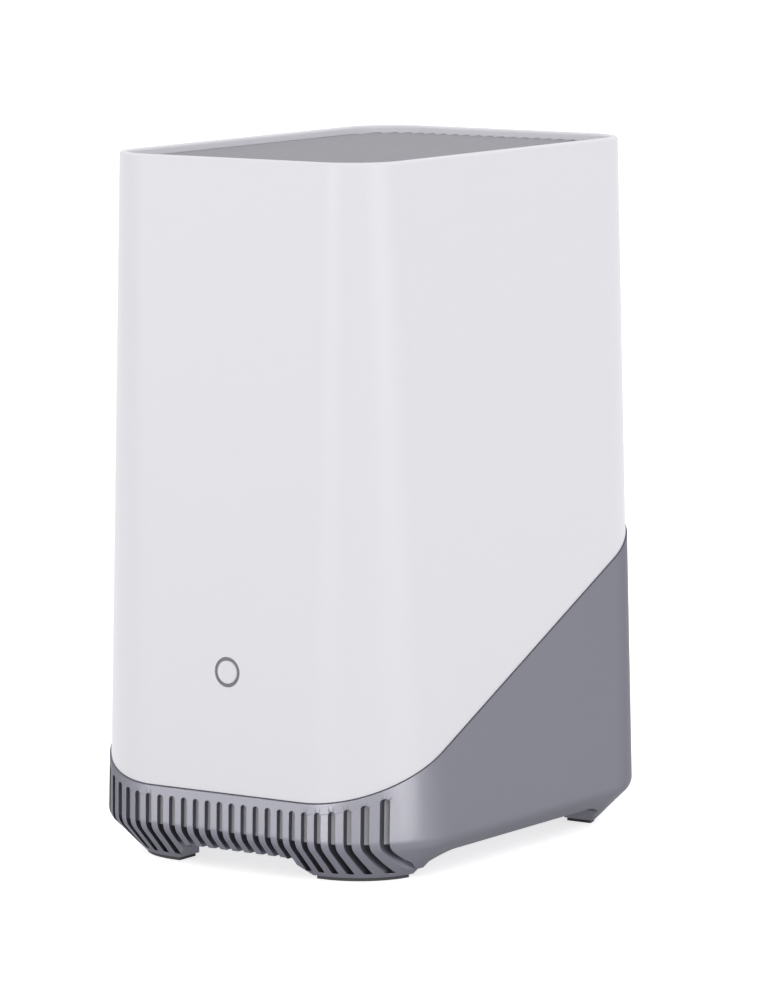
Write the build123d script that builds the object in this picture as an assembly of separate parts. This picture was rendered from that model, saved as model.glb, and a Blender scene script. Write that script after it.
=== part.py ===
from build123d import *
import math
import os

# Security camera base station. Millimetres, +Z up, front towards -Y.
# The origin is on the ground, under the centre of the body.

# Body form: one rounded rectangle at the chamfer and one at the lip, joined by straight walls.
body_height = 206.0
base_width = 113.6
base_depth = 153.0
base_radius = 30.9
side_taper = 8.9
front_taper = 3.7
lip_radius = 17.5
chamfer_start = 11.4
chamfer_angle = 45.0
bend_radius = 5.0
least_radius = 1.0

# Slanted seam between the sleeve and the lower housing.
seam_front = 23.5
seam_over_bay = 7.05
seam_step = 0.5
seam_gap = 0.3

# Clearances and the overrun that every cut shares.
overrun = 6.0
fit_gap = 0.2
running_gap = 0.08
loose_gap = 0.4

# Sleeve and top panel.
sleeve_wall = 2.2
lip_round = 0.9
panel_recess = 2.2
panel_plate = 1.8
rib_pitch = 4.2
rib_height = 0.7
ledge_width = 2.0
ledge_thickness = 1.6
tongue_wall = 1.4
tongue_height = 5.0
tongue_root = 6.0

# Lower housing, feet and pads.
housing_wall = 3.4
floor_bottom = 10.6
floor_thickness = 2.4
pad_thickness = 1.0
foot_thickness = 9.6
foot_front_length = 33.3
foot_side_length = 30.5
pad_margin = 0.8
front_arch_ramp = 6.0
front_arch_height = 6.3
side_arch_shoulder = 9.0
side_arch_height = 7.0
side_arch_sill = 4.6
side_step_height = 2.6
side_step_length = 2.5

# Vent slots.
slot_count = 24
slot_margin = 8.385
slot_width = 2.0
slot_top = 21.2
slot_cut_depth = 4.4
slot_sole = 1.4

# Baffle behind the front slots.
baffle_gap = 3.0
baffle_wall = 1.2
baffle_height = 10.0
baffle_depth = 36.0

# Front button, its light ring, board and switch.
button_height = 59.0
button_radius = 3.35
button_proud = 0.25
button_travel = 0.8
button_flange_radius = 4.8
button_flange = 1.0
button_stem_radius = 2.0
button_stem = 1.6
button_chamfer = 0.25
ring_radius = 4.3
ring_bore = 3.43
ring_recess = 0.35
ring_flange_radius = 6.0
ring_flange = 1.0
plunger_radius = 1.5
plunger_length = 2.6
switch_size = 6.0
switch_body = 3.4
front_board_width = 34.0
front_board_height = 18.0
board_thickness = 1.6
post_spread = 12.0
post_radius = 2.6
small_screw_radius = 1.0
small_head_radius = 1.9
small_head = 1.3
small_screw = 5.0
light_count = 4
light_size = 1.6
light_height = 0.9
light_ring_radius = 5.7

# Rear button.
rear_button_x = 19.0
rear_button_height = 60.0
rear_button_radius = 4.0
rear_pocket_radius = 5.6
rear_pocket_depth = 0.9
rear_board_size = 14.0

# Port bay in the back, and the sockets in it.
bay_x = -6.2
bay_width = 20.0
bay_low_margin = 1.1
bay_high_margin = 1.6
bay_depth = 5.5
bay_wall = 2.4
bay_round = 2.0
socket_gap = 0.25
dc_height = 48.6
dc_width = 9.0
dc_deep = 11.0
dc_length = 13.0
dc_bore = 3.1
dc_bore_depth = 9.5
dc_pin_radius = 1.0
usb_height = 61.4
usb_width = 13.6
usb_deep = 6.2
usb_length = 14.0
usb_shell = 0.4
usb_tongue_width = 10.6
usb_tongue_thickness = 1.9
usb_tongue_length = 9.0
net_height = 77.0
net_width = 15.8
net_deep = 13.4
net_length = 20.0
net_mouth_width = 11.9
net_mouth_deep = 8.0
net_notch_width = 6.2
net_notch_deep = 2.0
net_mouth_length = 14.0
contact_count = 8
contact_pitch = 1.02
contact_width = 0.45
contact_rise = 1.6
contact_length = 8.0

# Storage tray, drive and cage.
drive_width = 69.85
drive_height = 7.0
drive_length = 100.2
drive_round = 2.0
drive_hole_span = 61.7
drive_hole_first = 14.0
drive_hole_last = 90.6
tray_low = 24.6
tray_height = 14.8
tray_half = 38.6
tray_face = 6.0
tray_gap = 0.5
tray_floor_rise = 1.4
tray_floor = 1.6
tray_wall = 1.6
tray_wall_rise = 8.8
tray_slot_count = 6
tray_slot_width = 7.0
tray_slot_margin = 14.0
cage_sheet = 1.0
cage_top = 41.0
cage_length = 96.0
cage_back_gap = 3.0
rail_width = 4.0
cage_flange = 9.0
handle_half = 20.0
handle_height = 8.0
handle_thickness = 2.8
handle_gap = 0.35
handle_scoop = 8.0
handle_pin_radius = 1.0
handle_pin_grip = 2.2
connector_width = 42.0
connector_height = 5.2
connector_length = 6.5
screw_radius = 1.5
screw_head_radius = 2.8
screw_head = 1.8

# Upright frame and main board.
frame_sheet = 2.0
frame_end_room = 12.8
frame_head_room = 20.0
frame_flange = 9.0
frame_foot_half = 28.0
frame_window_share = 0.62
board_x = -14.6
board_end_margin = 6.0
board_low = 44.5
board_top_margin = 10.0
boss_radius = 3.0
chip_size = 21.0
chip_thickness = 1.4
chip_rise = 11.75
chip_place_share = 0.222
sink_share = 0.593
sink_base = 3.0
sink_fin_height = 12.0
sink_fin_count = 9
sink_fin_thickness = 1.4
can_share = 0.222
can_height = 34.0
can_thickness = 3.0
can_place_share = 0.648
can_rise = 14.75
capacitor_radius = 4.0
capacitor_length = 10.0
capacitor_pitch = 9.5
capacitor_count = 4
capacitor_margin = 20.0
capacitor_z = 77.0
antenna_width = 7.0
antenna_length = 52.0
antenna_thickness = 0.8

# Siren speaker.
speaker_room = 26.5
speaker_radius = 16.5
speaker_flange = 1.4
speaker_basket = 6.0
speaker_magnet_radius = 9.5
speaker_magnet = 3.6
speaker_ear_reach = 17.8
speaker_cone_radius = 14.0
speaker_cone_depth = 3.0
speaker_riser = 2.0

# Places that follow from the sizes above.
half_base_width = base_width / 2
half_base_depth = base_depth / 2
lip_width = base_width - 2 * side_taper
lip_depth = base_depth - 2 * front_taper
floor_top = floor_bottom + floor_thickness
foot_front_end = half_base_width - foot_front_length
foot_side_end = half_base_depth - foot_side_length
front_arch_half = foot_front_end - front_arch_ramp
side_arch_half = foot_side_end - side_arch_shoulder
slot_pitch = (base_width - 2 * slot_margin) / (slot_count - 1)
bay_low = dc_height - dc_width / 2 - bay_low_margin
bay_high = net_height + net_width / 2 + bay_high_margin
seam_slope_share = (bay_high + seam_over_bay - seam_front) / base_depth
seam_angle = math.degrees(math.atan(seam_slope_share))
chamfer_share = 1 / math.tan(math.radians(chamfer_angle))
bend_share = math.tan(math.radians(chamfer_angle / 2))
board_face = board_x + board_thickness
frame_half = lip_depth / 2 - frame_end_room
frame_top = body_height - frame_head_room
board_half = frame_half - board_end_margin
board_high = frame_top - board_top_margin
board_middle = (board_low + board_high) / 2
chip_y = -board_half * chip_place_share
chip_z = board_middle + chip_rise
sink_size = 2 * board_half * sink_share
can_y = board_half * can_place_share
can_z = board_middle + can_rise
can_width = 2 * board_half * can_share
capacitor_y = board_half - capacitor_margin
speaker_y = speaker_room - half_base_depth
low_align = (Align.MIN, Align.MIN, Align.MIN)


def block(x0, x1, y0, y1, z0, z1):
    """A box between two corners."""
    return Pos(x0, y0, z0) * Box(x1 - x0, y1 - y0, z1 - z0, align=low_align)


def rod(x, y, z, radius, length, direction=(0, 1, 0)):
    """A cylinder that starts at a point and runs along a direction."""
    base = Plane(origin=(x, y, z), z_dir=direction)
    return base * Cylinder(radius, length, align=(Align.CENTER, Align.CENTER, Align.MIN))


def sizes_at(z):
    """Half width, half depth and corner radius of the straight body wall at a height."""
    share = (z - chamfer_start) / (body_height - chamfer_start)
    half_width = half_base_width + (lip_width / 2 - half_base_width) * share
    half_depth = half_base_depth + (lip_depth / 2 - half_base_depth) * share
    return half_width, half_depth, base_radius + (lip_radius - base_radius) * share


def section(z, inset=0):
    """The body's rounded rectangle at a height, drawn in by an inset and by the chamfer below its bend."""
    bend = chamfer_start + inset * bend_share
    half_width, half_depth, radius = sizes_at(max(z, bend))
    inset += max(0, bend - z) * chamfer_share
    sketch = RectangleRounded(
        2 * (half_width - inset), 2 * (half_depth - inset), max(radius - inset, least_radius))
    return Plane.XY.offset(z) * sketch


def form(low, high, inset=0):
    """The solid body between two heights, drawn in by an inset."""
    bend = chamfer_start + inset * bend_share
    levels = [low, bend, high] if low < bend < high else [low, high]
    return loft([section(z, inset) for z in levels], ruled=True)


def prism(z, low, high, inset):
    """A straight prism with the body's outline at height z, drawn in by an inset."""
    half_width, half_depth, radius = sizes_at(z)
    sketch = RectangleRounded(
        2 * (half_width - inset), 2 * (half_depth - inset), max(radius - inset, least_radius))
    return extrude(Plane.XY.offset(low) * sketch, high - low)


def below_seam(rise=0):
    """Everything under the slanted seam plane, which may be raised."""
    slant = Plane.XY.offset(seam_front + rise).shift_origin((0, -half_base_depth, seam_front + rise))
    slant = slant.rotated((seam_angle, 0, 0))
    side = 2 * (body_height + base_depth)
    return slant * Box(side, side, side, align=(Align.CENTER, Align.CENTER, Align.MAX))


def front_y(x, z):
    """Y of the body's front wall at a place across it and a height."""
    half_width, half_depth, radius = sizes_at(z)
    over = max(0, abs(x) - (half_width - radius))
    return -(half_depth - radius) - math.sqrt(radius ** 2 - over ** 2)


def chamfer_run(x):
    """How far the chamfer runs in along Y for each unit that it drops, at a place across the front."""
    half_width, half_depth, radius = sizes_at(chamfer_start)
    over = max(0, abs(x) - (half_width - radius))
    return chamfer_share / math.sqrt(1 - (over / radius) ** 2)


def slot_cutter(x, top):
    """One vent slot: a round-topped blade that follows the front wall and turns in along the chamfer."""
    wall = front_y(x, chamfer_start)
    low = pad_thickness + slot_sole
    crown = top - slot_width / 2
    inner = wall + slot_cut_depth
    with BuildSketch(Plane.YZ.offset(x - slot_width / 2)) as side:
        with BuildLine():
            Polyline(
                (-half_base_depth - overrun, low),
                (inner + (chamfer_start - low) * chamfer_run(x), low),
                (inner, chamfer_start),
                (inner, crown),
                (-half_base_depth - overrun, crown),
                close=True)
        make_face()
    blade = extrude(side.sketch, slot_width)
    return blade + rod(x, -half_base_depth - overrun, crown, slot_width / 2,
                       inner + half_base_depth + overrun)


def slot_places():
    """Places across the front of all vent slots."""
    return [(i - (slot_count - 1) / 2) * slot_pitch for i in range(slot_count)]


def front_slots():
    """The front's slots, whose tops rise round the corners with the slanted seam."""
    return [
        slot_cutter(x, slot_top + seam_slope_share * (front_y(x, chamfer_start) + half_base_depth))
        for x in slot_places()]


def rear_slots():
    """The back's slots, all level."""
    return [slot_cutter(x, slot_top).rotate(Axis.Z, 180) for x in slot_places()]


def front_arch():
    """The gap under the front and back, with ramps up from the feet."""
    with BuildSketch(Plane.XZ) as outline:
        with BuildLine():
            Polyline(
                (-foot_front_end, pad_thickness - overrun),
                (-foot_front_end, pad_thickness),
                (-front_arch_half, front_arch_height),
                (front_arch_half, front_arch_height),
                (foot_front_end, pad_thickness),
                (foot_front_end, pad_thickness - overrun),
                close=True)
        make_face()
    return extrude(outline.sketch, half_base_depth + overrun, both=True)


def side_arch():
    """The gap under the sides, with a curved shoulder and a step at each foot."""
    step_end = foot_side_end + side_step_length
    with BuildSketch(Plane.YZ) as outline:
        with BuildLine():
            Polyline(
                (-side_arch_half, side_arch_height),
                (side_arch_half, side_arch_height))
            ThreePointArc(
                (side_arch_half, side_arch_height),
                ((side_arch_half + foot_side_end) / 2, (2 * side_arch_height + side_arch_sill) / 3),
                (foot_side_end, side_arch_sill))
            Polyline(
                (foot_side_end, side_arch_sill),
                (foot_side_end, side_step_height),
                (step_end, side_step_height),
                (step_end, pad_thickness - overrun),
                (-step_end, pad_thickness - overrun),
                (-step_end, side_step_height),
                (-foot_side_end, side_step_height),
                (-foot_side_end, side_arch_sill))
            ThreePointArc(
                (-foot_side_end, side_arch_sill),
                (-(side_arch_half + foot_side_end) / 2, (2 * side_arch_height + side_arch_sill) / 3),
                (-side_arch_half, side_arch_height))
        make_face()
    return extrude(outline.sketch, half_base_width + overrun, both=True)


def foot_inset():
    """How far the feet's inner edge lies inside the body's outline."""
    return (chamfer_start - pad_thickness) * chamfer_share + foot_thickness


def underside_hollow():
    """The hollow under the floor, which leaves the four crescent feet."""
    low = pad_thickness - overrun
    inner = form(low, floor_bottom, housing_wall)
    across = block(-foot_front_end, foot_front_end, -half_base_depth, half_base_depth, low, floor_bottom)
    along = block(-half_base_width, half_base_width, -foot_side_end, foot_side_end, low, floor_bottom)
    middle = prism(chamfer_start, low, floor_bottom, foot_inset())
    return inner & (across + along + middle)


def bend_edges(solid):
    """The edges where the outer wall turns into the chamfer."""
    return [edge for edge in solid.edges() if abs(edge.center().Z - chamfer_start) < running_gap]


def tongue():
    """The rim that stands up inside the sleeve, along the slanted seam."""
    inset = seam_step + sleeve_wall + fit_gap
    ring = form(floor_top, body_height, inset)
    ring -= form(floor_top - overrun, body_height + overrun, inset + tongue_wall)
    return (ring & below_seam(tongue_height)) - below_seam(-tongue_root)


def bay_block():
    """Solid behind the port bay, which the bay and the socket holes are cut from."""
    back = half_base_depth - bay_depth - bay_wall
    shape = block(
        bay_x - bay_width / 2 - bay_wall, bay_x + bay_width / 2 + bay_wall,
        back, half_base_depth, bay_low - bay_wall, bay_high + bay_wall)
    return shape & form(floor_top, body_height, seam_step)


def bay_floor():
    """Y of the port bay's floor, where the sockets' mouths lie."""
    return half_base_depth - bay_depth


def bay_pocket():
    """The port bay's recess, with round corners."""
    face = Plane.XZ.offset(-bay_floor()) * Pos(bay_x, (bay_low + bay_high) / 2)
    sketch = face * RectangleRounded(bay_width, bay_high - bay_low, bay_round)
    return extrude(sketch, -(bay_depth + overrun))


def socket_holes():
    """Holes in the bay's floor for the three sockets."""
    cuts = []
    for height, width, deep in (
            (dc_height, dc_width, dc_deep),
            (usb_height, usb_width, usb_deep),
            (net_height, net_width, net_deep)):
        cuts.append(block(
            board_face - socket_gap, board_face + deep + socket_gap,
            bay_floor() - bay_wall - overrun, bay_floor() + overrun,
            height - width / 2 - socket_gap, height + width / 2 + socket_gap))
    return cuts


def tray_opening():
    """The slot in the back that the storage tray slides through."""
    return block(
        -tray_half - tray_gap, tray_half + tray_gap, 0, half_base_depth + overrun,
        tray_low - tray_gap, tray_low + tray_height + tray_gap)


def rear_wall():
    """Y of the back wall's outer face at the rear button."""
    return -front_y(rear_button_x, rear_button_height)


def make_lower_housing():
    """Grey housing: walls, floor, slots, feet, tongue, port bay and openings, in one moulding."""
    shell = form(pad_thickness, body_height)
    shell = fillet(bend_edges(shell), bend_radius)
    shell = shell & below_seam()
    shell -= form(floor_top, body_height + overrun, housing_wall)
    shell -= underside_hollow()
    shell = shell + tongue()
    shell += bay_block()
    shell -= bay_pocket()
    shell -= socket_holes()
    shell -= tray_opening()
    shell -= rod(rear_button_x, half_base_depth + overrun, rear_button_height,
                 rear_button_radius + fit_gap, 2 * overrun + housing_wall, (0, -1, 0))
    shell -= rod(rear_button_x, half_base_depth + overrun, rear_button_height,
                 rear_pocket_radius, overrun + half_base_depth - rear_wall() + rear_pocket_depth, (0, -1, 0))
    shell -= front_slots()
    shell -= rear_slots()
    shell -= front_arch()
    shell -= side_arch()
    for x, y in cage_screw_places():
        shell -= rod(x, y, floor_bottom - overrun, screw_radius + fit_gap, floor_thickness + 2 * overrun,
                     (0, 0, 1))
    return shell


def make_foot_pads():
    """Four crescent rubber pads under the feet."""
    outer = (chamfer_start - pad_thickness) * chamfer_share + pad_margin
    ring = prism(chamfer_start, 0, pad_thickness, outer)
    ring -= prism(chamfer_start, -overrun, pad_thickness + overrun, foot_inset() - pad_margin)
    side_end = foot_side_end + side_step_length + pad_margin
    front_end = foot_front_end + pad_margin
    ring -= block(-base_width, base_width, -side_end, side_end, -overrun, pad_thickness + overrun)
    ring -= block(-front_end, front_end, -base_depth, base_depth, -overrun, pad_thickness + overrun)
    return ring


def ledge_top():
    """Height of the ledge that carries the top panel."""
    return body_height - panel_recess - rib_height - panel_plate


def sleeve_posts():
    """Two posts inside the sleeve's front that carry the button board."""
    length = button_board_y() + half_base_depth - seam_step - sleeve_wall / 2
    return [
        rod(x, -half_base_depth + seam_step + sleeve_wall / 2, button_height, post_radius, length)
        & form(seam_front, body_height, seam_step + sleeve_wall / 2)
        for x in (-post_spread, post_spread)]


def make_outer_sleeve():
    """White sleeve: tapered walls, rounded lip, panel ledge and button hole."""
    inner = seam_step + sleeve_wall
    sleeve = form(floor_top, body_height, seam_step)
    sleeve -= form(ledge_top(), body_height + overrun, inner)
    sleeve -= form(floor_top - overrun, ledge_top() - ledge_thickness, inner)
    sleeve -= form(ledge_top() - ledge_thickness - overrun, ledge_top() + overrun / 2, inner + ledge_width)
    sleeve -= below_seam(seam_gap)
    rim = [edge for edge in sleeve.edges() if edge.center().Z > body_height - running_gap]
    sleeve = fillet(rim, lip_round)
    sleeve += sleeve_posts()
    sleeve -= rod(0, -half_base_depth - overrun, button_height, ring_radius + running_gap,
                  2 * overrun + sleeve_wall)
    for x in (-post_spread, post_spread):
        sleeve -= rod(x, button_board_y() + overrun, button_height, small_screw_radius + running_gap,
                      small_screw + overrun - board_thickness, (0, -1, 0))
    return sleeve


def make_top_panel():
    """Reeded panel: round ribs that run from front to back."""
    low = ledge_top()
    top = low + panel_plate
    count = round(lip_width / rib_pitch)
    with BuildSketch(Plane.XZ) as profile:
        with BuildLine():
            left = -count * rib_pitch / 2
            Polyline((left, top), (left, low), (-left, low), (-left, top))
            for i in range(count):
                start = -left - i * rib_pitch
                ThreePointArc((start, top), (start - rib_pitch / 2, top + rib_height),
                              (start - rib_pitch, top))
        make_face()
    ribs = extrude(profile.sketch, half_base_depth, both=True)
    return ribs & form(low - overrun, body_height, seam_step + sleeve_wall + fit_gap)


def make_vent_baffle():
    """Curved wall that stands on the floor behind the front slots."""
    inset = housing_wall + baffle_gap
    wall = prism(chamfer_start, floor_top, floor_top + baffle_height, inset)
    wall -= prism(chamfer_start, floor_top - overrun, floor_top + baffle_height + overrun,
                  inset + baffle_wall)
    keep = -half_base_depth + baffle_depth
    return wall & block(-base_width, base_width, -base_depth, keep, 0, body_height)


def button_face_y():
    """Y of the sleeve's outer face at the front button."""
    return front_y(0, button_height) + seam_step


def button_board_y():
    """Y of the button board's front face."""
    return button_plunger_y() + plunger_length / 2 + switch_body


def button_flange_y():
    """Y of the front of the button's flange."""
    return button_face_y() + sleeve_wall + ring_flange + 2 * fit_gap


def button_plunger_y():
    """Y where the button's stem meets the switch's plunger."""
    return button_flange_y() + button_flange + button_stem


def make_front_button():
    """White button: round cap with a bevelled face, flange behind the light ring and stem."""
    start = button_face_y() - button_proud
    cap = rod(0, start, button_height, button_radius, button_flange_y() - start)
    front = [edge for edge in cap.edges() if abs(edge.center().Y - start) < running_gap]
    cap = chamfer(front, button_chamfer)
    cap += rod(0, button_flange_y(), button_height, button_flange_radius, button_flange)
    cap += rod(0, button_flange_y() + button_flange, button_height, button_stem_radius, button_stem)
    return cap


def make_button_ring():
    """Light ring: a clear tube in the sleeve's hole, with a flange behind the wall."""
    start = button_face_y() + ring_recess
    back = button_face_y() + sleeve_wall + fit_gap
    ring = rod(0, start, button_height, ring_radius, back - start)
    ring += rod(0, back, button_height, ring_flange_radius, ring_flange)
    return ring - rod(0, start - overrun, button_height, ring_bore, sleeve_wall + 2 * overrun + ring_flange)


def switch_case(x, y, z, direction):
    """Square switch case with a bore for its plunger; y is the case's front."""
    back = y + direction * switch_body
    case = block(x - switch_size / 2, x + switch_size / 2, min(y, back), max(y, back),
                 z - switch_size / 2, z + switch_size / 2)
    depth = plunger_length / 2 + button_travel + fit_gap
    return case - rod(x, y - direction * overrun, z, plunger_radius + running_gap, depth + overrun,
                      (0, direction, 0))


def make_front_plunger():
    """Plunger of the front switch."""
    return rod(0, button_plunger_y(), button_height, plunger_radius, plunger_length)


def make_front_switch():
    """Switch case on the button board."""
    return switch_case(0, button_plunger_y() + plunger_length / 2, button_height, 1)


def make_front_board():
    """Small board behind the front button."""
    front = button_board_y()
    board = block(-front_board_width / 2, front_board_width / 2, front, front + board_thickness,
                  button_height - front_board_height / 2, button_height + front_board_height / 2)
    for x in (-post_spread, post_spread):
        board -= rod(x, front - overrun, button_height, small_screw_radius + fit_gap,
                     board_thickness + 2 * overrun)
    return board


def screw(x, y, z, radius, length, head_radius, head, direction):
    """A pan-head screw; the point is under its head, and the direction is where its tip goes."""
    away = tuple(-value for value in direction)
    return rod(x, y, z, radius, length, direction) + rod(x, y, z, head_radius, head, away)


def make_front_board_screws():
    """Two screws that hold the button board."""
    back = button_board_y() + board_thickness
    return [
        screw(x, back, button_height, small_screw_radius, small_screw, small_head_radius, small_head,
              (0, -1, 0))
        for x in (-post_spread, post_spread)]


def make_ring_lights():
    """Light-emitting diodes on the button board, behind the ring."""
    front = button_board_y() - light_height
    lights = []
    for i in range(light_count):
        turn = math.radians(360 / light_count * (i + 1 / 2))
        x = light_ring_radius * math.cos(turn)
        z = button_height + light_ring_radius * math.sin(turn)
        lights.append(block(x - light_size / 2, x + light_size / 2, front, button_board_y(),
                            z - light_size / 2, z + light_size / 2))
    return lights


def rear_flange_y():
    """Y of the rear face of the rear button's flange."""
    return rear_wall() - housing_wall - 2 * fit_gap


def rear_plunger_y():
    """Y where the rear button's stem meets its plunger."""
    return rear_flange_y() - button_flange - button_stem


def make_rear_button():
    """Rear button: cap, flange inside the wall and stem."""
    end = rear_wall() - rear_pocket_depth / 2
    cap = rod(rear_button_x, end, rear_button_height, rear_button_radius, end - rear_flange_y(), (0, -1, 0))
    face = [edge for edge in cap.edges() if abs(edge.center().Y - end) < running_gap]
    cap = chamfer(face, button_chamfer)
    cap += rod(rear_button_x, rear_flange_y(), rear_button_height, rear_pocket_radius, button_flange,
               (0, -1, 0))
    cap += rod(rear_button_x, rear_flange_y() - button_flange, rear_button_height,
               button_stem_radius, button_stem, (0, -1, 0))
    return cap


def make_rear_plunger():
    """Plunger of the rear switch."""
    return rod(rear_button_x, rear_plunger_y(), rear_button_height, plunger_radius, plunger_length,
               (0, -1, 0))


def make_rear_switch():
    """Switch case behind the rear button."""
    return switch_case(rear_button_x, rear_plunger_y() - plunger_length / 2, rear_button_height, -1)


def rear_board_y():
    """Y of the rear switch board's outer face."""
    return rear_plunger_y() - plunger_length / 2 - switch_body


def make_rear_board():
    """Small board that carries the rear switch, standing on the frame's foot."""
    low = cage_top + frame_sheet
    return block(rear_button_x - rear_board_size / 2, rear_button_x + rear_board_size / 2,
                 rear_board_y() - board_thickness, rear_board_y(),
                 low, rear_button_height + rear_board_size / 2)


def tray_back():
    """Y where the tray's face ends and its carrier starts."""
    return half_base_depth - tray_face


def tray_bed():
    """Height of the surface that the drive lies on."""
    return tray_low + tray_floor_rise + tray_floor


def handle_y():
    """Y of the tray handle's outer face."""
    return -front_y(0, tray_low + tray_height / 2) - handle_gap


def handle_z():
    """Height of the handle's middle."""
    return tray_low + tray_height / 2


def handle_pin_x():
    """Place of the handle's hinge pin."""
    return handle_half - handle_thickness


def make_drive_tray():
    """Tray: a face that continues the back wall, with a recess for its handle, and an open carrier."""
    face = block(-tray_half, tray_half, tray_back(), half_base_depth + overrun, tray_low,
                 tray_low + tray_height)
    face = face & form(floor_top, body_height)
    low = tray_low + tray_floor_rise
    half = drive_width / 2 + fit_gap + tray_wall
    inner = tray_back() - drive_length - fit_gap
    carrier = block(-half, half, inner, tray_back(), low, low + tray_floor + tray_wall_rise)
    carrier -= block(-half + tray_wall, half - tray_wall, inner - overrun, tray_back(),
                     low + tray_floor, low + tray_floor + tray_wall_rise + overrun)
    first = inner + tray_slot_margin
    step = (tray_back() - inner - 2 * tray_slot_margin - tray_slot_width) / (tray_slot_count - 1)
    reach = drive_width / 2 - tray_slot_margin
    for i in range(tray_slot_count):
        start = first + i * step
        carrier -= block(-reach, reach, start, start + tray_slot_width, low - overrun,
                         low + tray_floor + overrun)
    tray = face + carrier
    recess_back = handle_y() - handle_thickness - handle_gap
    tray -= block(-handle_half - handle_gap - handle_scoop, handle_half + handle_gap, recess_back,
                  half_base_depth + overrun, handle_z() - handle_height / 2 - handle_gap,
                  handle_z() + handle_height / 2 + handle_gap)
    tray -= rod(handle_pin_x(), handle_y() - handle_thickness / 2,
                handle_z() - handle_height / 2 - handle_gap - handle_pin_grip,
                handle_pin_radius, handle_height + 2 * (handle_gap + handle_pin_grip), (0, 0, 1))
    for x, y in drive_screw_places():
        tray -= rod(x, y, low - overrun, screw_radius + fit_gap, tray_floor + 2 * overrun, (0, 0, 1))
        tray -= rod(x, y, low - overrun, screw_head_radius + fit_gap, overrun + screw_head / 2, (0, 0, 1))
    return tray


def make_tray_handle():
    """Folding handle with a round barrel on its pin and a grip bead at its free end."""
    back = handle_y() - handle_thickness
    low = handle_z() - handle_height / 2
    bar = block(-handle_half, handle_pin_x(), back, handle_y(), low, low + handle_height)
    bar += rod(handle_pin_x(), handle_y() - handle_thickness / 2, low, handle_thickness / 2,
               handle_height, (0, 0, 1))
    bore = rod(handle_pin_x(), handle_y() - handle_thickness / 2, low - overrun,
               handle_pin_radius + running_gap, handle_height + 2 * overrun, (0, 0, 1))
    return bar - bore


def make_handle_pin():
    """Hinge pin of the tray handle."""
    return rod(handle_pin_x(), handle_y() - handle_thickness / 2,
               handle_z() - handle_height / 2 - handle_gap - handle_pin_grip,
               handle_pin_radius, handle_height + 2 * (handle_gap + handle_pin_grip), (0, 0, 1))


def make_storage_drive():
    """2.5 inch drive lying in the tray."""
    inner = tray_back() - drive_length
    drive = block(-drive_width / 2, drive_width / 2, inner, tray_back() - fit_gap,
                  tray_bed(), tray_bed() + drive_height)
    upright = [edge for edge in drive.edges().filter_by(Axis.Z)]
    drive = fillet(upright, drive_round)
    drive -= block(-connector_width / 2 - fit_gap, connector_width / 2 + fit_gap, inner - overrun,
                   inner + connector_length / 2 + fit_gap, tray_bed() + fit_gap,
                   tray_bed() + connector_height + 2 * fit_gap)
    for x, y in drive_screw_places():
        drive -= rod(x, y, tray_bed() - overrun, screw_radius, overrun + drive_height / 2, (0, 0, 1))
    return drive


def drive_screw_places():
    """Places of the four screws under the drive."""
    inner = tray_back() - drive_length
    return [
        (side * drive_hole_span / 2, inner + place)
        for side in (-1, 1) for place in (drive_hole_first, drive_hole_last)]


def make_drive_screws():
    """Four screws that hold the drive in its tray."""
    seat = tray_low + tray_floor_rise + screw_head / 2
    return [
        screw(x, y, seat, screw_radius, tray_floor + screw_head, screw_head_radius,
              screw_head / 2 - fit_gap, (0, 0, 1))
        for x, y in drive_screw_places()]


def cage_inner():
    """Half width inside the drive cage."""
    return drive_width / 2 + fit_gap + tray_wall + loose_gap


def cage_back():
    """Y of the cage's end near the back wall."""
    return tray_back() - cage_back_gap


def cage_screw_places():
    """Places of the four screws that hold the cage to the floor."""
    x = cage_inner() - cage_flange / 2
    inner = cage_back() - cage_length
    return [(sx * x, y) for sx in (-1, 1) for y in (inner + cage_length / 4, cage_back() - cage_length / 4)]


def make_drive_cage():
    """Sheet-steel cage: roof, two sides with rails, floor flanges and an inner end wall."""
    half = cage_inner() + cage_sheet
    back = cage_back()
    inner = back - cage_length
    cage = block(-half, half, inner, back, cage_top - cage_sheet, cage_top)
    for side in (-1, 1):
        x0, x1 = sorted((side * half, side * cage_inner()))
        cage += block(x0, x1, inner, back, floor_top, cage_top)
        x0, x1 = sorted((side * half, side * (cage_inner() - cage_flange)))
        cage += block(x0, x1, inner, back, floor_top, floor_top + cage_sheet)
        x0, x1 = sorted((side * half, side * (cage_inner() - rail_width)))
        rail_top = tray_low + tray_floor_rise - fit_gap
        cage += block(x0, x1, inner, back, rail_top - cage_sheet, rail_top)
    end = tray_back() - drive_length - fit_gap - connector_length / 2 - cage_sheet
    cage += block(-half, half, end - cage_sheet, inner, cage_top - cage_sheet, cage_top)
    cage += block(-half, half, end - cage_sheet, end, tray_low, cage_top)
    for x, y in cage_screw_places():
        cage -= rod(x, y, floor_bottom, screw_radius, overrun, (0, 0, 1))
    for x, y in frame_screw_places():
        cage -= rod(x, y, cage_top - overrun / 2, screw_radius, overrun, (0, 0, 1))
    return cage


def make_cage_screws():
    """Four screws up through the floor into the cage."""
    return [
        screw(x, y, floor_bottom, screw_radius, floor_thickness + cage_sheet, screw_head_radius,
              screw_head, (0, 0, 1))
        for x, y in cage_screw_places()]


def make_drive_connector():
    """Socket on the cage's end wall that the drive plugs into."""
    end = tray_back() - drive_length - fit_gap - connector_length / 2 - cage_sheet
    low = tray_bed() + 2 * fit_gap
    return block(-connector_width / 2, connector_width / 2, end, end + connector_length,
                 low, low + connector_height - fit_gap)


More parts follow.
